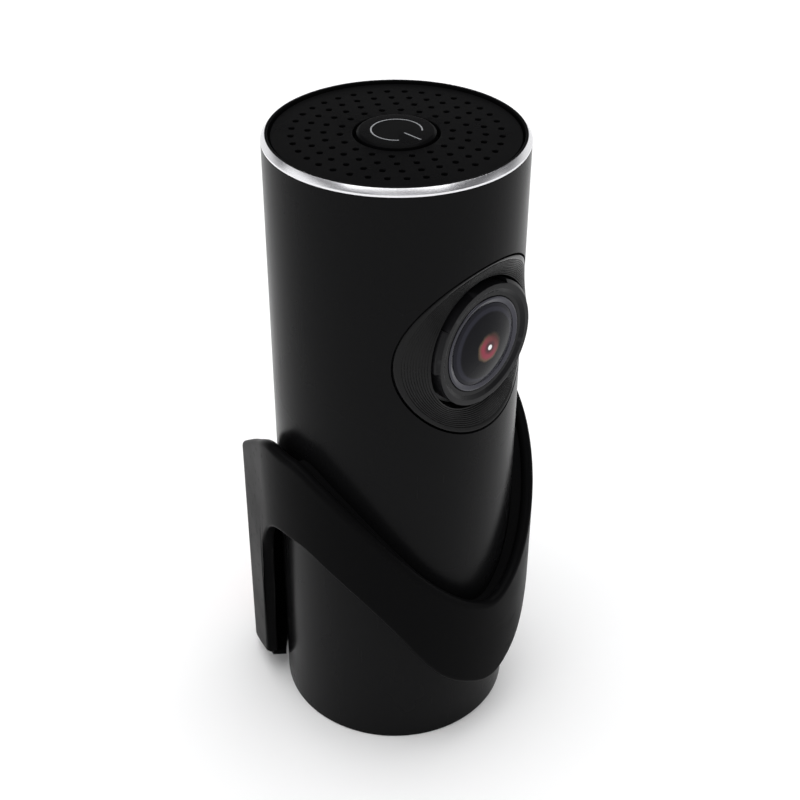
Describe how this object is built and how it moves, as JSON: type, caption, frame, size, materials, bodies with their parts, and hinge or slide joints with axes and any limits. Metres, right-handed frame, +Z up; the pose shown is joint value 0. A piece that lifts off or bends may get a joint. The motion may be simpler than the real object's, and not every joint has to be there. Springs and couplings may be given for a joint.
{
  "type": "dash camera",
  "caption": "Upright cylindrical dash camera with a side lens, perforated top with a power button, turning in a V-shaped sling bracket with a stick-on back plate.",
  "frame": {"origin": "centre of the body's flat base, on the body's axis", "axes": "+Z up the body's axis towards the button, -Y out of the lens at rest, +Y out of the bracket's adhesive face, X across"},
  "size_m": [0.0428, 0.0439, 0.0967],
  "materials": {
    "body": "smooth satin-gloss black",
    "bracket": "satin black",
    "polymer": "fine-textured black",
    "polymer_gloss": "polished black",
    "chrome": "diamond-cut silver",
    "steel": "plain pressed steel",
    "aluminium": "extruded",
    "anodised": "black anodised",
    "copper": "bare copper",
    "magnet": "sintered ferrite",
    "silicon": "moulded chip package",
    "board": "green solder mask",
    "rubber": "moulded",
    "paper": "pressed cone paper",
    "sleeve": "shrink sleeve",
    "clear": "clear moulded light pipe",
    "glass": "coated lens glass",
    "foam": "acrylic foam tape with a red liner",
    "cable": "polyimide film"
  },
  "bodies": {
    "mount": {"sling_bracket": "bracket", "grip_liner": "rubber", "adhesive_pad": "foam"},
    "camera": {"housing_tube": "body", "base_cap": "polymer", "top_ring": "chrome", "grille_plate": "polymer", "top_board": "board", "button_return_pad": "rubber", "button_switch": "steel", "speaker_basket": "steel", "speaker_magnet": "magnet", "speaker_cone": "paper", "lens_bezel": "polymer_gloss", "bezel_gasket": "rubber", "lens_ring": "anodised", "lens_retainer": "polymer_gloss", "front_glass": "glass", "lens_barrel": "anodised", "middle_glass": "glass", "aperture_ring": "polymer", "rear_glass": "glass", "lens_holder": "polymer", "infrared_filter": "glass", "image_sensor": "silicon", "sensor_board": "board", "card_socket": "steel", "card_board": "board", "rear_board": "board", "power_socket": "steel", "contact_tongue": "polymer", "light_pipe": "clear", "microphone": "steel", "main_board": "board", "processor": "silicon", "heat_spreader": "aluminium", "memory_chip": "silicon", "power_choke": "magnet", "antenna": "copper", "backup_cell": "sleeve", "cell_clip": "steel", "ribbon_cable": "cable", "inner_frame": "polymer", "base_screw_1": "steel", "base_screw_2": "steel"},
    "button": {"power_button": "polymer_gloss"},
    "card": {"memory_card": "polymer"}
  },
  "joints": [
    {"name": "camera_swivel", "type": "hinge", "parent": "mount", "child": "camera", "pos_m": [0, 0, 0], "axis": [0, 0, 1], "continuous": true},
    {"name": "button_press", "type": "slide", "parent": "camera", "child": "button", "axis": [0, 0, -1], "range_m": [0, 0.0005], "stiffness_N_per_m": 2500, "springref_m": -0.0003},
    {"name": "card_pull", "type": "slide", "parent": "camera", "child": "card", "axis": [0, 1, 0], "range_m": [0, 0.0155]}
  ]
}
